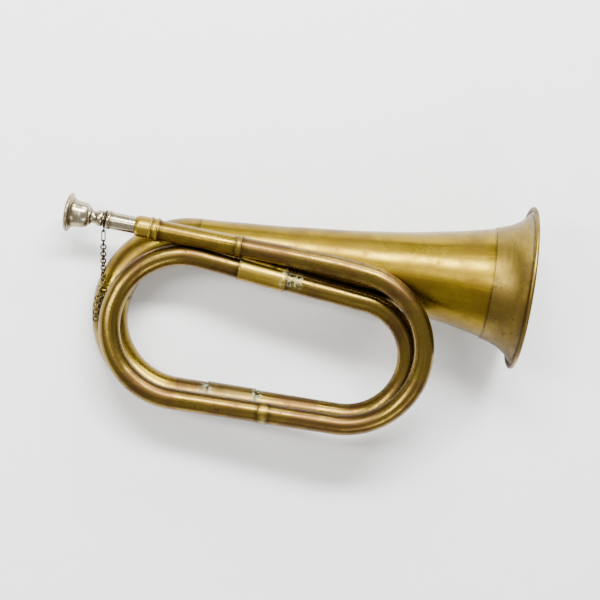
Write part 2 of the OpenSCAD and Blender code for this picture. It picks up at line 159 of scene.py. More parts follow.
# ---------------------------------------------------------------- meshes
class Grid:
    """A closed skin: points[i, j] wraps both ways, with values along it for the materials."""

    def __init__(self, points, grime_and_shade=0.0, deposit=0.0):
        self.points = points
        shape = points.shape[:2]
        self.grime_and_shade = np.broadcast_to(grime_and_shade, shape).astype(float)
        self.deposit = np.broadcast_to(deposit, shape).astype(float)


def crevice_shade(points, order):
    """Painted shade: 1 where a surface almost touches another stretch of tube or the bell, down to 0 some
    way off.
    """
    flat = points.reshape(-1, 3)
    gap = np.full(len(flat), 99.0)
    for other, centres, radii in AXES:
        if abs(other - order) < 2:
            continue
        for first in range(0, len(flat), 4000):
            part = flat[first:first + 4000]
            apart = np.linalg.norm(part[:, None] - centres[None], axis=2) - radii[None]
            gap[first:first + 4000] = np.minimum(gap[first:first + 4000], apart.min(axis=1))
    return np.exp(-(np.maximum(gap, 0) / CREVICE_SHADE_REACH) ** 2).reshape(points.shape[:2])


def piece(name, grids, material, body="horn"):
    """Makes one object from closed skins, lays it down and ties it to the CAD."""
    if name in ORDER:
        # Painted shade is added where the piece comes close to another stretch of tube or the bell.
        for grid in grids:
            grid.grime_and_shade = np.maximum(grid.grime_and_shade, CREVICE_SHADE_SHARE * crevice_shade(grid.points, ORDER[name]))
    vertices, faces, uvs, grime_and_shade, deposit = [], [], [], [], []
    base = 0
    for grid in grids:
        n, m = grid.points.shape[:2]
        flat = grid.points.reshape(-1, 3)
        laid = (flat @ LYING[:3, :3].T + LYING[:3, 3]) * METRES
        vertices.append(laid)
        grime_and_shade.append(grid.grime_and_shade.ravel())
        deposit.append(grid.deposit.ravel())
        middles = grid.points.mean(axis=1)
        steps = np.linalg.norm(np.roll(grid.points, -1, axis=0) - grid.points, axis=2).mean(axis=1)
        along = np.concatenate([[0], np.cumsum(steps)]) * METRES
        girth = np.linalg.norm(grid.points - middles[:, None], axis=2).mean() * 2 * math.pi * METRES
        i, j = np.meshgrid(np.arange(n), np.arange(m), indexing="ij")
        i2, j2 = (i + 1) % n, (j + 1) % m
        quads = np.stack([i * m + j, i2 * m + j, i2 * m + j2, i * m + j2], axis=-1).reshape(-1, 4)
        faces.append(quads + base)
        u = np.stack([along[i], along[i + 1], along[i + 1], along[i]], axis=-1).reshape(-1, 4)
        v = np.stack([j, j, j + 1, j + 1], axis=-1).reshape(-1, 4) * girth / m
        uvs.append(np.stack([u, v], axis=-1).reshape(-1, 2))
        base += n * m
    mesh = bpy.data.meshes.new(name)
    mesh.from_pydata(np.concatenate(vertices).tolist(), [], np.concatenate(faces).tolist())
    mesh.uv_layers.new(name="Way").data.foreach_set("uv", np.concatenate(uvs).ravel())
    for label, values in (("grime_and_shade", grime_and_shade), ("deposit", deposit)):
        mesh.attributes.new(label, "FLOAT", "POINT").data.foreach_set("value", np.concatenate(values))
    mesh.shade_smooth()
    mesh.set_sharp_from_angle(angle=math.radians(42))
    mesh.materials.append(material)
    made = bpy.data.objects.new(name + "_visual", mesh)
    bpy.context.scene.collection.objects.link(made)
    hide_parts(name)
    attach(made, body)


# Which stretch of the horn each piece is on, counted from the bell back to the mouthpipe
ORDER = {"bell": 0, "rear_bow": 1, "rear_lower_run": 2, "lower_sleeve": 2, "inner_bow": 3,
         "front_upper_run": 4, "upper_sleeve": 4, "front_bow": 5, "front_lower_run": 6,
         "lap_ferrule": 6, "outer_bow": 7, "lead_sweep": 8, "lead_run": 9,
         "mouthpipe_ferrule": 10, "mouthpipe": 10, "receiver": 10}
# Reach and strength of the painted shade where tubes come close.
CREVICE_SHADE_REACH, CREVICE_SHADE_SHARE = 2.6, 0.95


def outward(grid):
    """Turns the skin so that its faces look out of the solid."""
    p = grid.points
    a, b = np.roll(p, -1, axis=0) - p, np.roll(p, -1, axis=1) - p
    volume = (np.cross(a, b) * (p - p.mean(axis=(0, 1)))).sum()
    if volume < 0:
        return Grid(p[:, ::-1], grid.grime_and_shade[:, ::-1], grid.deposit[:, ::-1])
    return grid


def rings(places, radii, lumps=None):
    """Rings of points round the X axis of each place; lumps is added to the radius."""
    turn = np.linspace(0, 2 * math.pi, TUBE_SIDES, endpoint=False)
    r = np.asarray(radii)[:, None] + (0 if lumps is None else lumps)
    zero = np.zeros_like(r * turn)
    local = np.stack([zero, r * np.cos(turn), r * np.sin(turn), zero + 1], axis=-1)
    return np.einsum("kab,kjb->kja", np.array(places), local)[..., :3]


def worn(distance, seed, dents=()):
    """Slight unevenness of hand-bent tube, and soft dents given as (distance, degrees, depth, size)."""
    turn = np.linspace(0, 2 * math.pi, TUBE_SIDES, endpoint=False)[None]
    d = np.asarray(distance)[:, None]
    lumps = 0.035 * np.sin(d / 11 + seed + 1.7 * np.sin(turn + seed))
    lumps = lumps + 0.02 * np.sin(d / 4.3 + 2 * turn + 2.1 * seed) * np.sin(d / 29 + seed)
    for where, degrees, depth, size in dents:
        off = np.angle(np.exp(1j * (turn - math.radians(degrees)))) * FRONT_BOW_R
        lumps = lumps - depth * np.exp(-((d - where) ** 2 + off ** 2) / size ** 2)
    return lumps


def near(distance, marks, reach):
    """How close each distance is to the nearest mark, from 1 on it down to 0."""
    if not len(marks):
        return np.zeros(len(distance))
    gaps = np.abs(np.asarray(distance)[:, None] - np.asarray(marks)[None])
    return np.exp(-(gaps.min(axis=1) / reach) ** 2)


def one_side(degrees, sides):
    """1 on one side of a round piece, down to 0 on the other."""
    turn = np.linspace(0, 2 * math.pi, sides, endpoint=False)
    return (0.5 + 0.5 * np.cos(turn - math.radians(degrees)))[None] ** 1.5


def tube(name, places, distance, radii, material, seed, dents=(), grime_and_shade_at=(), greened=(),
         green_side=180):
    """A length of sheet-metal tube through a row of places, with a wall."""
    lumps = worn(distance, seed, dents)
    # The ends keep their true radius so that neighbouring pieces meet
    fade = np.clip(np.minimum(distance - distance[0], distance[-1] - distance) / 5, 0, 1)[:, None]
    outer = rings(places, radii, lumps * fade)
    inner = rings(places, np.asarray(radii) - WALL, lumps * fade)
    points = np.concatenate([outer, inner[::-1]])
    # Grime and painted shade darken the tube near the given joint marks, and the whole inner wall gets full
    # grime and painted shade.
    grime_and_shade = near(distance, grime_and_shade_at, 2.2)[:, None]
    green = near(distance, greened, 3.2)[:, None] * one_side(green_side, TUBE_SIDES)
    lining_grime_and_shade = np.ones_like(grime_and_shade)
    grid = Grid(points, np.concatenate([grime_and_shade, lining_grime_and_shade]), np.concatenate([green, 0 * green]))
    piece(name, [outward(grid)], material)


def run(start, length, step=1.6):
    """The places and distances along a straight stretch."""
    count = max(2, round(length / step))
    distance = np.linspace(0, length, count + 1)
    return [start @ forward(d) for d in distance], distance


def bow(start, turns, twist=0.0, step=1.6):
    """The places and distances along turns of (radius, degrees), rolled by twist between them."""
    places, distance, passed, place = [], [], 0.0, start
    for number, (radius, angle) in enumerate(turns):
        length = radius * math.radians(angle)
        count = max(4, round(length / step))
        if number:
            place = place @ spun("X", twist)
        for k in range(0 if number == 0 else 1, count + 1):
            places.append(place @ around((radius, angle * k / count)))
            distance.append(passed + length * k / count)
        place = place @ around((radius, angle))
        passed += length
    return places, np.array(distance)


def even_radii(distance, start, end):
    """A radius for each distance, changing evenly from start to end."""
    return start + (end - start) * distance / distance[-1]


def axis_samples():
    """The middle line and radius of every stretch, for finding where surfaces come close."""
    def stretch(order, way, start_r, end_r):
        places, distance = way
        return order, np.array([spot(p) for p in places]), even_radii(distance, start_r, end_r)

    bell_axis = np.stack([-np.linspace(0, BELL_LEN, 140), np.zeros(140), np.zeros(140)], axis=-1)
    return [
        (0, bell_axis, bell_r(-bell_axis[:, 0])),
        stretch(1, bow(at_bell, REAR_BOW_TURNS), BELL_SMALL_R, REAR_BOW_R),
        stretch(2, run(at_rear_run, REAR_RUN_LEN), REAR_BOW_R, INNER_BOW_END_R),
        stretch(3, bow(at_inner_bow, INNER_BOW_TURNS, INNER_BOW_TWIST),
                INNER_BOW_END_R, INNER_BOW_R),
        stretch(4, run(at_front_upper, FRONT_UPPER_LEN), INNER_BOW_R, FRONT_BOW_R),
        stretch(5, bow(at_front_bow, FRONT_BOW_TURNS), FRONT_BOW_R, FRONT_BOW_R),
        stretch(6, run(at_front_lower, FRONT_LOWER_LEN), FRONT_BOW_R, OUTER_BOW_R),
        stretch(7, bow(at_outer_bow, OUTER_BOW_TURNS, OUTER_BOW_TWIST), OUTER_BOW_R, OUTER_BOW_R),
        stretch(8, bow(at_outer_top, [LEAD_SWEEP_TURN]), OUTER_BOW_R, OUTER_BOW_R),
        stretch(9, run(at_lead, LEAD_LEN), OUTER_BOW_R, MOUTHPIPE_R),
        stretch(10, run(at_ferrule, MOUTHPIPE_LEN), MOUTHPIPE_R, MOUTHPIPE_R)]


AXES = axis_samples()


def turned_solid(place, profile, sides=96, grime_and_shade_at=(), grime_and_shade_reach=1.2, greened=(), green_reach=2.0,
                 green_side=180, wobble=0.0):
    """A closed outline of (distance, radius) points turned about the X axis of a place."""
    outline = np.array(profile, float)
    turn = np.linspace(0, 2 * math.pi, sides, endpoint=False)
    x = np.repeat(outline[:, :1], sides, axis=1)
    r = outline[:, 1:] + wobble * np.sin(3 * turn + outline[:, :1] / 7)
    local = np.stack([x, r * np.cos(turn), r * np.sin(turn), np.ones_like(x)], axis=-1)
    points = (local @ place.T)[..., :3]
    # Grime and painted shade near the given marks along the outline.
    grime_and_shade = near(outline[:, 0], grime_and_shade_at, grime_and_shade_reach)[:, None]
    green = near(outline[:, 0], greened, green_reach)[:, None] * one_side(green_side, sides)
    return outward(Grid(points, grime_and_shade, green))


def arc(centre, radius, first, last, count):
    """Points of an arc as (distance, radius) pairs; angles in degrees from the +X axis."""
    angles = [math.radians(first + (last - first) * k / count) for k in range(count + 1)]
    return [(centre[0] + radius * math.cos(a), centre[1] + radius * math.sin(a)) for a in angles]


def filled(outline, longest):
    """The outline with extra points, so that no side is longer than a length."""
    points = []
    for (x0, r0), (x1, r1) in zip(outline, outline[1:] + outline[:1]):
        count = max(1, math.ceil(math.hypot(x1 - x0, r1 - r0) / longest))
        points += [(x0 + (x1 - x0) * k / count, r0 + (r1 - r0) * k / count) for k in range(count)]
    return points


def wire_ring(place, radius, wire_r, first=0.0, last=360.0, steps=40, sides=WIRE_SIDES):
    """Round wire along an arc in the XY plane of a place; less than a full turn is capped."""
    whole = last - first >= 360
    angles = np.radians(np.linspace(first, last, steps, endpoint=not whole))
    turn = np.linspace(0, 2 * math.pi, sides, endpoint=False)
    wires = np.full(len(angles), wire_r)
    if not whole:
        angles = np.concatenate([angles[:1], angles, angles[-1:]])
        wires = np.concatenate([[wire_r * 0.02], wires, [wire_r * 0.02]])
    centre = np.stack([radius * np.cos(angles), radius * np.sin(angles)], axis=-1)[:, None]
    out = np.stack([np.cos(angles), np.sin(angles)], axis=-1)[:, None]
    flat = centre + out * (wires[:, None] * np.cos(turn))[..., None]
    rise = (wires[:, None] * np.sin(turn))[..., None]
    local = np.concatenate([flat, rise, np.ones_like(rise)], axis=-1)
    return outward(Grid((local @ place.T)[..., :3]))


# ---------------------------------------------------------------- materials
class Nodes:
    """Small helper that adds shader nodes and joins them."""

    def __init__(self, name):
        self.material = bpy.data.materials.new(name)
        self.material.use_nodes = True
        self.tree = self.material.node_tree
        self.shader = self.tree.nodes["Principled BSDF"]
        self.way = self.add("ShaderNodeUVMap", uv_map="Way").outputs["UV"]
        self.solid = self.add("ShaderNodeTexCoord").outputs["Object"]

    def add(self, kind, **settings):
        node = self.tree.nodes.new(kind)
        for key, value in settings.items():
            setattr(node, key, value)
        return node

    def join(self, source, target):
        self.tree.links.new(source, target)

    def put(self, socket, value):
        if isinstance(value, bpy.types.NodeSocket):
            self.join(value, socket)
        else:
            socket.default_value = value

    def noise(self, where, scale, detail=5.0, roughness=0.6, stretch=None, distortion=0.0):
        if stretch:
            mapping = self.add("ShaderNodeMapping")
            self.join(where, mapping.inputs["Vector"])
            mapping.inputs["Scale"].default_value = stretch
            where = mapping.outputs["Vector"]
        node = self.add("ShaderNodeTexNoise")
        self.join(where, node.inputs["Vector"])
        node.inputs["Scale"].default_value = scale
        node.inputs["Detail"].default_value = detail
        node.inputs["Roughness"].default_value = roughness
        node.inputs["Distortion"].default_value = distortion
        return node.outputs["Fac"]

    def between(self, value, low, high, out_low=0.0, out_high=1.0):
        node = self.add("ShaderNodeMapRange", interpolation_type="SMOOTHSTEP")
        self.join(value, node.inputs["Value"])
        ends = {"From Min": low, "From Max": high, "To Min": out_low, "To Max": out_high}
        for key, number in ends.items():
            node.inputs[key].default_value = number
        return node.outputs["Result"]

    def maths(self, operation, a, b):
        node = self.add("ShaderNodeMath", operation=operation)
        self.put(node.inputs[0], a)
        self.put(node.inputs[1], b)
        return node.outputs["Value"]

    def blend(self, share, a, b, mode="MIX"):
        node = self.add("ShaderNodeMix", data_type="RGBA", blend_type=mode)
        self.put(node.inputs["Factor"], share)
        self.put(node.inputs[6], a)
        self.put(node.inputs[7], b)
        return node.outputs[2]

    def value(self, label):
        return self.add("ShaderNodeAttribute", attribute_name=label).outputs["Fac"]

    def bump(self, height, strength, distance, normal=None):
        node = self.add("ShaderNodeBump")
        self.join(height, node.inputs["Height"])
        node.inputs["Strength"].default_value = strength
        node.inputs["Distance"].default_value = distance
        if normal is not None:
            self.join(normal, node.inputs["Normal"])
        return node.outputs["Normal"]


def colour(red, green, blue):
    """A display colour, 0 to 255, as the linear colour that shaders use."""
    def linear(c):
        c /= 255
        return c / 12.92 if c <= 0.04045 else ((c + 0.055) / 1.055) ** 2.4
    return (linear(red), linear(green), linear(blue), 1.0)


# Dark brown for grime at joints and for painted shade in crevices and inside tubes.
GRIME_AND_SHADE = colour(58, 42, 20)
VERDIGRIS = colour(146, 156, 128)
STAIN_SCALE, MOTTLE_SCALE, SPECKLE_SCALE, STREAK_STRETCH = 30, 900, 420, (9, 330, 1)


def aged_metal(name, clean, stained, spotted, gloss=(0.2, 0.36), stains=(0.42, 0.62),
               spots=(0.6, 0.72), scratch_stretch=(14, 700, 1), scratch_mark=0.35,
               streak_mark=0.5, spot_scale=210.0, spot_mark=0.75):
    """Worn metal: broad stains, dark spots, fine scratches, grime and painted shade in corners, green
    deposits.

    clean, stained and spotted are colours. gloss holds the roughness between its broad marks;
    stains and spots hold the texture values between which those marks appear; each _mark is
    how strongly one shows.
    """
    n = Nodes(name)
    broad = n.noise(n.solid, STAIN_SCALE, detail=7, roughness=0.62, distortion=0.6)
    fine = n.noise(n.solid, spot_scale, detail=6, roughness=0.7)
    scratches = n.noise(n.way, 1.0, detail=3, roughness=0.75, stretch=scratch_stretch)
    tone = n.blend(n.between(broad, *stains), clean, stained)
    tone = n.blend(n.between(fine, *spots, 0, spot_mark), tone, spotted)
    mottle = n.noise(n.solid, MOTTLE_SCALE, detail=3, roughness=0.6)
    tone = n.blend(n.between(mottle, 0.35, 0.7, 0, 0.16), tone, spotted)
    tone = n.blend(n.between(scratches, 0.56, 0.7, 0, scratch_mark), tone, clean)
    streaks = n.noise(n.way, 1.0, detail=4, roughness=0.7, stretch=STREAK_STRETCH, distortion=0.3)
    tone = n.blend(n.between(streaks, 0.54, 0.72, 0, streak_mark), tone, spotted)
    # The grime-and-shade value darkens the colour toward dark brown: grime at joints plus painted shade
    # where parts meet and inside tubes.
    grime_and_shade = n.maths("MULTIPLY", n.value("grime_and_shade"), n.between(fine, 0.25, 0.65, 0.45, 1.0))
    tone = n.blend(grime_and_shade, tone, GRIME_AND_SHADE)
    speckle = n.noise(n.solid, SPECKLE_SCALE, detail=5, roughness=0.75)
    patchy = n.maths("MULTIPLY", n.value("deposit"), n.between(speckle, 0.4, 0.7, 0.0, 1.0))
    deposit = n.between(patchy, 0.1, 0.8, 0, 0.8)
    tone = n.blend(deposit, tone, VERDIGRIS)
    n.join(tone, n.shader.inputs["Base Color"])
    dullness = n.between(broad, 0.3, 0.7, gloss[0], gloss[1])
    dullness = n.maths("ADD", dullness, n.between(fine, 0.5, 0.75, 0, 0.14))
    dullness = n.maths("ADD", dullness, n.between(scratches, 0.5, 0.75, 0, 0.1))
    dullness = n.maths("MAXIMUM", dullness, n.maths("MULTIPLY", deposit, 0.8))
    n.join(n.maths("MAXIMUM", dullness, n.maths("MULTIPLY", grime_and_shade, 0.5)), n.shader.inputs["Roughness"])
    n.join(n.between(deposit, 0, 1, 1.0, 0.1), n.shader.inputs["Metallic"])
    normal = n.bump(scratches, 0.12, 0.00006)
    normal = n.bump(fine, 0.10, 0.00012, normal)
    normal = n.bump(deposit, 0.5, 0.00015, normal)
    n.join(n.bump(broad, 0.25, 0.0006, normal), n.shader.inputs["Normal"])
    return n.material


TUBE = aged_metal("tube_brass", colour(120, 99, 42), colour(94, 71, 37), colour(56, 38, 22),
                  gloss=(0.22, 0.38), stains=(0.4, 0.58), spots=(0.56, 0.7), streak_mark=0.62)
YELLOW_TUBE = aged_metal("yellow_tube_brass", colour(134, 112, 36), colour(106, 84, 31),
                         colour(68, 50, 21), gloss=(0.23, 0.36), streak_mark=0.45)
BELL = aged_metal("bell_brass", colour(137, 114, 27), colour(113, 90, 24), colour(84, 63, 23),
                  gloss=(0.25, 0.36), stains=(0.4, 0.66), spots=(0.5, 0.84), scratch_stretch=(14, 420, 1),
                  scratch_mark=0.25, streak_mark=0.1, spot_scale=110.0, spot_mark=0.42)
GARLAND = aged_metal("garland_brass", colour(130, 110, 44), colour(104, 84, 38), colour(72, 55, 28),
                     gloss=(0.32, 0.46), stains=(0.36, 0.6), spots=(0.55, 0.7), scratch_stretch=(300, 16, 1),
                     streak_mark=0.2)
SLEEVE = aged_metal("sleeve_brass", colour(170, 145, 52), colour(140, 116, 44), colour(98, 76, 32),
                    gloss=(0.26, 0.38), spots=(0.64, 0.76))
LOWER_SLEEVE = aged_metal("lower_sleeve_brass", colour(112, 94, 48), colour(88, 70, 37), colour(58, 43, 25),
                          gloss=(0.28, 0.42))
FITTING = aged_metal("fitting_brass", colour(138, 115, 48), colour(108, 85, 38), colour(68, 50, 24),
                     gloss=(0.26, 0.4))
NICKEL = aged_metal("mouthpiece_nickel", colour(174, 164, 140), colour(144, 133, 104), colour(94, 83, 56),
                    gloss=(0.17, 0.3), spots=(0.6, 0.74), scratch_stretch=(500, 20, 1))
DARK_WIRE = aged_metal("chain_metal", colour(96, 82, 50), colour(58, 47, 28), colour(28, 23, 15),
                       gloss=(0.3, 0.46), stains=(0.36, 0.6), spots=(0.46, 0.62), spot_scale=600.0)
RIM_IRON = aged_metal("rim_iron", colour(120, 108, 90), colour(96, 74, 52), colour(60, 40, 26),
                      gloss=(0.4, 0.6))


# ---------------------------------------------------------------- bell
def bell_skin(start, end, lift, count, crowd):
    """A closed outline of sheet metal on the bell's outside, from start to end behind the mouth."""
    depths = start + (end - start) * (np.arange(count + 1) / count) ** crowd
    outside = [(-d, bell_r(d) + lift + WALL) for d in depths]
    inside = [(-d, bell_r(d) + lift) for d in depths[::-1]]
    return outside + inside


def make_bell():
    outline = bell_skin(0, BELL_LEN, -WALL, 150, 1.6)
    # Grime and painted shade along the garland's back edge.
    grid = turned_solid(at_horn, outline, sides=BELL_SIDES, grime_and_shade_at=[-GARLAND_LEN - 0.4],
                        grime_and_shade_reach=0.9)
    turn = np.linspace(0, 2 * math.pi, BELL_SIDES, endpoint=False)[None]
    depth = -np.array(outline)[:, :1]
    # Slow unevenness that leaves both ends and the garland's seat true
    fade = np.clip((depth - GARLAND_LEN - 4) / 20, 0, 1) * np.clip((BELL_LEN - depth) / 12, 0, 1)
    swell = (0.12 * np.sin(depth / 19 + 2 * turn) * np.sin(turn * 3 + 1.1)
             + 0.07 * np.sin(depth / 7.5 + 4 * turn))
    outward_dir = grid.points - np.array([1.0, 0, 0]) * grid.points[..., :1]
    outward_dir = outward_dir / np.linalg.norm(outward_dir, axis=2, keepdims=True)
    grid.points = grid.points + outward_dir * (swell * fade)[..., None]
    piece("bell", [grid], BELL)


def make_garland():
    outline = bell_skin(GARLAND_START, GARLAND_LEN, SOLDER_GAP, 46, 1.3)
    # Grime and painted shade at the garland's front edge.
    piece("garland", [turned_solid(at_horn, outline, sides=BELL_SIDES, grime_and_shade_at=[-GARLAND_START],
                                   grime_and_shade_reach=0.7)], GARLAND)


def make_rim():
    centre = (0.0, BELL_MOUTH_R + RIM_R)
    bead = arc(centre, RIM_R, 0, 345, 23)
    # Grime and painted shade where the bead meets the bell.
    piece("rim_bead", [turned_solid(at_horn, bead, sides=BELL_SIDES, grime_and_shade_at=[-RIM_R],
                                    grime_and_shade_reach=0.7)], GARLAND)
    wire_r = RIM_R - WALL - FIT_GAP
    piece("rim_wire", [turned_solid(at_horn, arc(centre, wire_r, 0, 337.5, 15), sides=96)], RIM_IRON)


# ---------------------------------------------------------------- tubing
def make_tubing():
    # The marks passed to each tube put grime and painted shade at its joints, sleeve edges and under the
    # staple.
    places, d = bow(at_bell, REAR_BOW_TURNS)
    tube("rear_bow", places, d, even_radii(d, BELL_SMALL_R, REAR_BOW_R), YELLOW_TUBE, 0.4,
         dents=[(60, 250, 0.25, 7)],
         grime_and_shade_at=[0, STAPLE_TURN * math.radians(REAR_BOW_TURNS[0][0])])
    places, d = run(at_rear_run, REAR_RUN_LEN)
    sleeve_end = REAR_RUN_LEN - LOWER_SLEEVE_AT
    tube("rear_lower_run", places, d, even_radii(d, REAR_BOW_R, INNER_BOW_END_R), TUBE, 1.1,
         grime_and_shade_at=[sleeve_end - SLEEVE_LEN, sleeve_end], green_side=60,
         greened=[sleeve_end - SLEEVE_LEN - 3, sleeve_end - SLEEVE_LEN - 1, sleeve_end + 1, sleeve_end + 3])
    places, d = bow(at_inner_bow, INNER_BOW_TURNS, INNER_BOW_TWIST)
    tube("inner_bow", places, d, even_radii(d, INNER_BOW_END_R, INNER_BOW_R), TUBE, 2.3)
    places, d = run(at_front_upper, FRONT_UPPER_LEN)
    tube("front_upper_run", places, d, even_radii(d, INNER_BOW_R, FRONT_BOW_R), TUBE, 3.0,
         grime_and_shade_at=[UPPER_SLEEVE_AT, UPPER_SLEEVE_AT + SLEEVE_LEN], green_side=130,
         greened=[UPPER_SLEEVE_AT - 9, UPPER_SLEEVE_AT - 6, UPPER_SLEEVE_AT - 3, UPPER_SLEEVE_AT - 1])
    places, d = bow(at_front_bow, FRONT_BOW_TURNS)
    tube("front_bow", places, d, np.full(len(d), FRONT_BOW_R), TUBE, 4.2,
         dents=[(70, 150, 0.3, 6), (120, 60, 0.2, 5)])
    places, d = run(at_front_lower, FRONT_LOWER_LEN)
    tube("front_lower_run", places, d, even_radii(d, FRONT_BOW_R, OUTER_BOW_R), TUBE, 5.1,
         grime_and_shade_at=[LAP_AT, LAP_AT + LAP_LEN])
    places, d = bow(at_outer_bow, OUTER_BOW_TURNS, OUTER_BOW_TWIST)
    tube("outer_bow", places, d, np.full(len(d), OUTER_BOW_R), TUBE, 6.4, dents=[(84, 200, 0.25, 6)])
    places, d = bow(at_outer_top, [LEAD_SWEEP_TURN])
    tube("lead_sweep", places, d, np.full(len(d), OUTER_BOW_R), TUBE, 7.7)
    places, d = run(at_lead, LEAD_LEN)
    tube("lead_run", places, d, even_radii(d, OUTER_BOW_R, MOUTHPIPE_R), TUBE, 8.3,
         grime_and_shade_at=[LEAD_LEN - FERRULE_LEN / 2])
    places, d = run(at_ferrule, MOUTHPIPE_LEN)
    tube("mouthpipe", places, d, np.full(len(d), MOUTHPIPE_R), YELLOW_TUBE, 9.5,
         grime_and_shade_at=[FERRULE_LEN / 2, MOUTHPIPE_LEN - 3])


def sleeve_outline(length, r_start, r_end, thickness):
    """Outline of a sleeve with rounded edges on a tube that may narrow."""
    edge = thickness * 0.6
    slope = (r_end - r_start) / length
    top = [(edge, r_start + thickness), (length - edge, r_end + thickness)]
    left = arc((edge, r_start + thickness - edge), edge, 180, 90, 5)
    right = arc((length - edge, r_end + thickness - edge), edge, 90, 0, 5)
    bore = [(length, r_end + SOLDER_GAP), (0.0, r_start + SOLDER_GAP)]
    middle = [(top[0][0] + k * 2, top[0][1] + k * 2 * slope) for k in range(1, int(length / 2))]
    return left + middle + right + filled(bore, 3)[:-1]


def half_bead(at, radius, section_r):
    """Outline of a half-round bead on a tube."""
    foot = (at, radius + SOLDER_GAP)
    return arc(foot, section_r, 180, 0, 14) + [foot]


def make_sleeves():
    r = max(INNER_BOW_R, FRONT_BOW_R)
    place = at_front_upper @ forward(UPPER_SLEEVE_AT)
    outline = sleeve_outline(SLEEVE_LEN, r, r, SLEEVE_OVER)
    # Grime and painted shade at both ends of each sleeve.
    piece("upper_sleeve", [turned_solid(place, outline, grime_and_shade_at=[0, SLEEVE_LEN], grime_and_shade_reach=0.8,
                                        greened=[0.5, 3, SLEEVE_LEN], green_reach=2.5, green_side=130,
                                        wobble=0.02)], SLEEVE)
    bands = [half_bead(d, r + SLEEVE_OVER, BEAD_R / 2) for d in (BAND_INSET, SLEEVE_LEN - BAND_INSET)]
    piece("upper_sleeve_bands", [turned_solid(place, band, greened=[0, 2]) for band in bands], SLEEVE)
    slope = (INNER_BOW_END_R - REAR_BOW_R) / REAR_RUN_LEN
    start = REAR_RUN_LEN - LOWER_SLEEVE_AT - SLEEVE_LEN
    r = REAR_BOW_R + slope * start
    outline = sleeve_outline(SLEEVE_LEN, r, r + slope * SLEEVE_LEN, SLEEVE_OVER)
    place = at_rear_run @ forward(start)
    piece("lower_sleeve", [turned_solid(place, outline, grime_and_shade_at=[0, SLEEVE_LEN], grime_and_shade_reach=0.8,
                                        greened=[0, 1, SLEEVE_LEN - 1, SLEEVE_LEN],
                                        green_reach=2.4, green_side=60)], LOWER_SLEEVE)
    slope = (OUTER_BOW_R - FRONT_BOW_R) / FRONT_LOWER_LEN
    r = FRONT_BOW_R + slope * LAP_AT
    outline = sleeve_outline(LAP_LEN, r, r + slope * LAP_LEN, LAP_OVER)
    piece("lap_ferrule", [turned_solid(at_front_lower @ forward(LAP_AT), outline, grime_and_shade_at=[0, LAP_LEN],
                                       grime_and_shade_reach=0.7, greened=[4], green_reach=3)], FITTING)


def make_fittings():
    base = MOUTHPIPE_R + FERRULE_OVER
    outline = [(0.0, MOUTHPIPE_R + SOLDER_GAP), (0.0, base)]
    for middle in (FERRULE_BEAD_R, FERRULE_LEN - FERRULE_BEAD_R):
        outline += arc((middle, base), FERRULE_BEAD_R, 175, 5, 10)
    outline += [(FERRULE_LEN, base), (FERRULE_LEN, MOUTHPIPE_R + SOLDER_GAP)]
    place = at_ferrule @ forward(-FERRULE_LEN / 2)
    # Grime and painted shade at the ferrule's ends and between its beads.
    piece("mouthpipe_ferrule", [turned_solid(place, outline, grime_and_shade_at=[0, FERRULE_LEN / 2, FERRULE_LEN],
                                             grime_and_shade_reach=0.6)], FITTING)
    bore, seat = SHANK_R + FIT_GAP, RECEIVER_LEN - RECEIVER_OVERLAP
    outline = [(0.0, bore), (0.0, RECEIVER_MOUTH_R - 0.3)]
    outline += arc((-0.3, RECEIVER_MOUTH_R - 0.3), 0.3, 90, 110, 2)
    outline += filled([(-0.5, RECEIVER_MOUTH_R), (-RECEIVER_CHAMFER, RECEIVER_R)], 1)[:3]
    outline += [(-d, RECEIVER_R) for d in np.linspace(RECEIVER_CHAMFER, RECEIVER_LEN, 14)]
    outline += [(-RECEIVER_LEN, MOUTHPIPE_R + SOLDER_GAP), (-seat, MOUTHPIPE_R + SOLDER_GAP)]
    outline += [(-d, bore - SHANK_GROWTH * d) for d in np.linspace(seat, 1, 8)]
    # Grime and painted shade at the receiver's mouth, its bead and its end.
    piece("receiver", [turned_solid(at_mouth, outline, grime_and_shade_at=[0, -12.6, -RECEIVER_LEN], grime_and_shade_reach=0.7,
                                    wobble=0.02)], SLEEVE)
    beads = [turned_solid(at_mouth, half_bead(-d, RECEIVER_R, BEAD_R)) for d in RECEIVER_BEAD_PLACES]
    piece("receiver_beads", beads, SLEEVE)


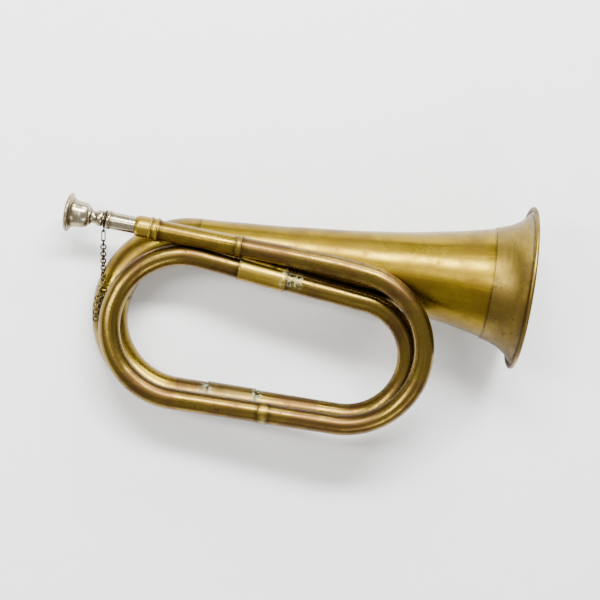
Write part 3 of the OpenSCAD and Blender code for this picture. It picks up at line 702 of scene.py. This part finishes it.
def make_stays():
    def post(start, start_r, end, end_r):
        """A waisted post between two tubes, with solder spread at both feet."""
        line = end - start
        length = np.linalg.norm(line)
        unit = line / length
        turn = Vector((1, 0, 0)).rotation_difference(Vector(unit)).to_matrix().to_4x4()
        place = np.array(Matrix.Translation(Vector(start + unit * (start_r - POST_SINK))) @ turn)
        gap = length - start_r - end_r + 2 * POST_SINK
        waist = [(gap * k / 10, POST_R * (0.82 + 0.18 * abs(2 * k / 10 - 1) ** 2)) for k in range(11)]
        # Grime and painted shade at both feet of the post.
        return turned_solid(place, waist + [(gap, 0.05), (0.0, 0.05)], sides=32, grime_and_shade_at=[0, gap],
                            grime_and_shade_reach=0.5)

    def from_bell(tube_spot, tube_r):
        return post(np.array([tube_spot[0], 0, 0]), bell_r(-tube_spot[0]), tube_spot, tube_r)

    place = at_outer_mid @ around((OUTER_BOW_TURNS[1][0], BELL_STAY_TURN))
    piece("bell_stay", [from_bell(spot(place), OUTER_BOW_R)], FITTING)
    place = at_lead @ forward(LEAD_LEN / 2)
    piece("lead_stay", [from_bell(spot(place), (MOUTHPIPE_R + OUTER_BOW_R) / 2)], FITTING)
    posts = []
    for share in COIL_STAY_SHARES:
        rear_r = REAR_BOW_R + (INNER_BOW_END_R - REAR_BOW_R) * share
        front_r = FRONT_BOW_R + (OUTER_BOW_R - FRONT_BOW_R) * share
        rear = spot(at_rear_run @ forward(REAR_RUN_LEN * share))
        front = spot(at_front_lower @ forward(FRONT_LOWER_LEN * share))
        posts.append(post(rear, rear_r, front, front_r))
    upper_r = INNER_BOW_R + (FRONT_BOW_R - INNER_BOW_R) * UPPER_STAY_SHARE
    posts.append(from_bell(spot(at_front_upper @ forward(FRONT_UPPER_LEN * UPPER_STAY_SHARE)), upper_r))
    piece("coil_stays", posts, FITTING)


# ---------------------------------------------------------------- mouthpiece
def mouthpiece_outline():
    """Half of the mouthpiece's section: out along the shank to the rim, and back through the cup."""
    quarter = np.linspace(0, math.pi / 2, 12)
    cup_end = RIM_AT - 0.6
    cup = [(cup_end - CUP_DEPTH * math.sin(a), THROAT_R + (CUP_MOUTH_R - THROAT_R) * math.cos(a))
           for a in np.linspace(0, math.pi / 2, 20)]
    flange = [(RIM_AT - 8 + FLANGE_LEN * math.sin(a), FLANGE_FOOT_R + FLANGE_SWELL * (1 - math.cos(a)))
              for a in quarter]
    bowl = [(CUP_STEP_AT + 0.6 + BOWL_LEN * (1 - math.cos(a)), BOWL_FOOT_R + BOWL_SWELL * math.sin(a))
            for a in quarter]
    neck = [(NECK_BEAD_AT + NECK_BEAD_HALF - NECK_BEAD_HALF * math.cos(a),
             NECK_BEAD_FOOT_R + NECK_BEAD_SWELL * math.sin(a)) for a in np.linspace(0, math.pi, 14)]
    shank = [(x, SHANK_R + SHANK_GROWTH * x) for x in np.linspace(-SHANK_DEPTH, COLLAR_AT, 16)]
    collar = [(COLLAR_AT + 0.2, 6.4), (COLLAR_AT + 0.4, COLLAR_R), (GROOVE_AT - 0.4, COLLAR_R),
              (GROOVE_AT - 0.1, 6.3), (GROOVE_AT + 0.05, GROOVE_R + 0.1),
              (GROOVE_AT + 0.2, GROOVE_R), (NECK_BEAD_AT - 0.2, GROOVE_R)]
    waist = [(NECK_BEAD_AT + 5.4, NECK_R), (CUP_STEP_AT - 2.6, NECK_R), (CUP_STEP_AT - 1.8, 4.4),
             (CUP_STEP_AT - 1.0, 4.85), (CUP_STEP_AT - 0.6, 5.2), (CUP_STEP_AT - 0.3, 6.0),
             (CUP_STEP_AT + 0.1, 6.15)]
    rim = [(RIM_AT - 3, 12.5), (RIM_AT - 2.8, 12.95), (RIM_AT - 2.4, 13.35), (RIM_AT - 1.9, CUP_RIM_R),
           (RIM_AT - 1.4, 13.45), (RIM_AT - 0.9, 13.2), (RIM_AT - 0.5, 12.85), (RIM_AT - 0.2, 12.3),
           (RIM_AT - 0.03, 11.6), (RIM_AT, 10.8), (RIM_AT, 9.6), (RIM_AT - 0.12, 9.0), (RIM_AT - 0.35, 8.5)]
    backbore = [(CUP_STEP_AT - 5, THROAT_R), (CUP_STEP_AT - 8, THROAT_R), (-SHANK_DEPTH, BACKBORE_R)]
    outside = shank + collar + neck + waist + bowl + flange + rim
    return [(-SHANK_DEPTH, SHANK_TIP_R)] + outside + cup + backbore


def make_mouthpiece():
    # Grime and painted shade in the mouthpiece's grooves and at its steps, at three quarters strength.
    grime_and_shade_at = [COLLAR_AT, GROOVE_AT + 0.8, NECK_BEAD_AT, NECK_BEAD_AT + 4.6, CUP_STEP_AT - 0.6,
              RIM_AT - 4.6]
    grid = turned_solid(at_mouth, mouthpiece_outline(), sides=128, grime_and_shade_at=grime_and_shade_at, grime_and_shade_reach=0.75)
    grid.grime_and_shade = grid.grime_and_shade * 0.75
    piece("mouthpiece", [grid], NICKEL, body="mouthpiece")


# ---------------------------------------------------------------- chain
def across(place):
    """A place turned so that a ring in its XY plane stands round the old X axis."""
    return place @ spun("Y", 90)


def make_staple():
    # Stands the half ring across the tube: its X axis goes aside and its Y axis up
    stand = np.array([[0, 0, 1, 0], [1, 0, 0, 0], [0, 1, 0, 0], [0, 0, 0, 1]], float)
    loop = wire_ring(at_staple @ stand, STAPLE_R, STAPLE_WIRE_R, 0, 180, sides=20)
    piece("chain_staple", [loop], FITTING)


def make_neck_ring():
    ring = wire_ring(across(at_neck), RING_R, RING_WIRE_R, steps=72, sides=18)
    eye = wire_ring(across(at_eye), EYE_R, EYE_WIRE_R, steps=36)
    piece("neck_ring", [ring, eye], DARK_WIRE, body="neck_ring")


def chain_places():
    """The chain's line from the eye's wire to above the staple, as a frame with X along it."""
    start = spot(at_eye @ aside(EYE_R))
    end = spot(at_staple @ lifted(STAPLE_R)) + np.array(CHAIN_END_OFFSET)
    line = (end - start) / np.linalg.norm(end - start)
    tilt, heading = math.degrees(math.acos(line[2])), math.degrees(math.atan2(line[1], line[0]))
    frame_turn = spun("Z", heading) @ spun("Y", tilt) @ spun("Y", -90)
    frame_turn[:3, 3] = start
    return frame_turn


def make_chain():
    line = chain_places()
    wire_link_at = WIRE_LINK_HALF + EYE_PLAY
    ring_at = (wire_link_at + WIRE_LINK_HALF + WIRE_LINK_R + FIRST_RING_R - EYE_WIRE_R
               - LINK_WIRE_R - LINK_PLAY)
    grip = 2 * LINK_WIRE_R + LINK_PLAY
    first_at = ring_at + FIRST_RING_R + LINK_R - grip
    pitch = 2 * LINK_R - grip
    piece("wire_link", [oval_link(line @ forward(wire_link_at))], DARK_WIRE, body="chain")
    piece("first_ring", [wire_ring(line @ forward(ring_at) @ spun("X", 90), FIRST_RING_R, LINK_WIRE_R)],
          DARK_WIRE, body="chain")
    links = []
    for k in range(CHAIN_LINKS):
        place = line @ forward(first_at + k * pitch) @ spun("X", 90 * (k % 2) + LINK_TWIST * k)
        links.append(wire_ring(place, LINK_R, LINK_WIRE_R))
    piece("chain", links, DARK_WIRE, body="chain")


def oval_link(place):
    """A long wire link: two half rings joined by straight sides."""
    half, r = WIRE_LINK_HALF, WIRE_LINK_R
    bend = np.linspace(-math.pi / 2, math.pi / 2, 15)
    right = [(half + r * math.cos(a), r * math.sin(a)) for a in bend]
    left = [(-half - r * math.cos(a), -r * math.sin(a)) for a in bend]
    path = np.array(filled(right + left, 0.6))
    ahead = np.roll(path, -1, axis=0) - np.roll(path, 1, axis=0)
    ahead /= np.linalg.norm(ahead, axis=1, keepdims=True)
    out = np.stack([ahead[:, 1], -ahead[:, 0]], axis=-1)
    turn = np.linspace(0, 2 * math.pi, WIRE_SIDES, endpoint=False)
    flat = path[:, None] + out[:, None] * (EYE_WIRE_R * np.cos(turn))[None, :, None]
    rise = np.broadcast_to(EYE_WIRE_R * np.sin(turn), flat.shape[:2])[..., None]
    local = np.concatenate([flat, rise, np.ones_like(rise)], axis=-1)
    return outward(Grid((local @ place.T)[..., :3]))


def make_tail():
    links = [wire_ring(at_staple @ lifted(STAPLE_R) @ spun("X", 90), LINK_R, LINK_WIRE_R)]
    for side in (-1, 1):
        for k in range(STRAND_LINKS):
            turn = STAPLE_TURN + STRAND_START + STRAND_STEP * k
            place = at_bell @ around((REAR_BOW_TURNS[0][0], turn))
            place = place @ spun("X", STAPLE_ROLL + side * STRAND_SPREAD)
            place = place @ lifted(staple_tube_r + STRAND_LIFT) @ spun("X", STRAND_CANT + 90 * (k % 2))
            links.append(wire_ring(place, LINK_R, LINK_WIRE_R))
    piece("chain_tail", links, DARK_WIRE, body="chain_tail")


# ---------------------------------------------------------------- stage
def make_floor():
    n = Nodes("floor_paper")
    grain = n.noise(n.solid, 60, detail=4)
    tone = n.blend(n.between(grain, 0.3, 0.7), (0.95, 0.95, 0.95, 1), (0.97, 0.97, 0.97, 1))
    n.join(tone, n.shader.inputs["Base Color"])
    n.shader.inputs["Roughness"].default_value = 0.75
    n.join(n.bump(grain, 0.05, 0.0005), n.shader.inputs["Normal"])
    bpy.ops.mesh.primitive_plane_add(size=6.0)
    floor = bpy.context.object
    floor.name = "floor"
    floor.data.materials.append(n.material)


def make_lights():
    world = bpy.data.worlds.new("room")
    bpy.context.scene.world = world
    world.use_nodes = True
    background = world.node_tree.nodes["Background"]
    background.inputs["Color"].default_value = (1.0, 0.975, 0.94, 1)
    background.inputs["Strength"].default_value = 0.6
    for name, place, size, power in (
            ("key", (-0.1, 0.85, 1.25), (1.1, 0.24), 56.0),
            ("window", (0.3, 1.5, 0.8), (0.9, 0.5), 24.0),
            ("fill", (0.4, -1.1, 1.1), (0.7, 0.3), 6.5),
            ("top", (-0.9, 0.1, 1.2), (0.16, 0.7), 15.0)):
        light = bpy.data.lights.new(name, "AREA")
        light.shape = "RECTANGLE"
        light.size, light.size_y = size
        light.energy = power
        lamp = bpy.data.objects.new(name, light)
        lamp.location = place
        aim = Vector((0, 0, 0.03)) - Vector(place)
        lamp.rotation_euler = aim.to_track_quat("-Z", "Y").to_euler()
        bpy.context.scene.collection.objects.link(lamp)


CAMERA_SPOT = (-152.0, -31.6, 1155.0)
CAMERA_ROLL = 8.6
CAMERA_LENS = 99.0


def make_camera():
    """Looks straight down the coil's front, turned a little about its own line of sight."""
    camera = bpy.data.objects.new("camera", bpy.data.cameras.new("camera"))
    camera.data.sensor_width = 36.0
    camera.data.lens = CAMERA_LENS
    place = np.eye(4)
    place[:3, 3] = CAMERA_SPOT
    place = LYING @ place @ spun("Z", CAMERA_ROLL)
    place[:3, 3] *= METRES
    camera.matrix_world = Matrix(place.tolist())
    camera.data.clip_start = 0.05
    bpy.context.scene.collection.objects.link(camera)
    bpy.context.scene.camera = camera


make_camera()
make_bell()
make_garland()
make_rim()
make_tubing()
make_sleeves()
make_fittings()
make_stays()
make_mouthpiece()
make_staple()
make_neck_ring()
make_chain()
make_tail()
make_floor()
make_lights()
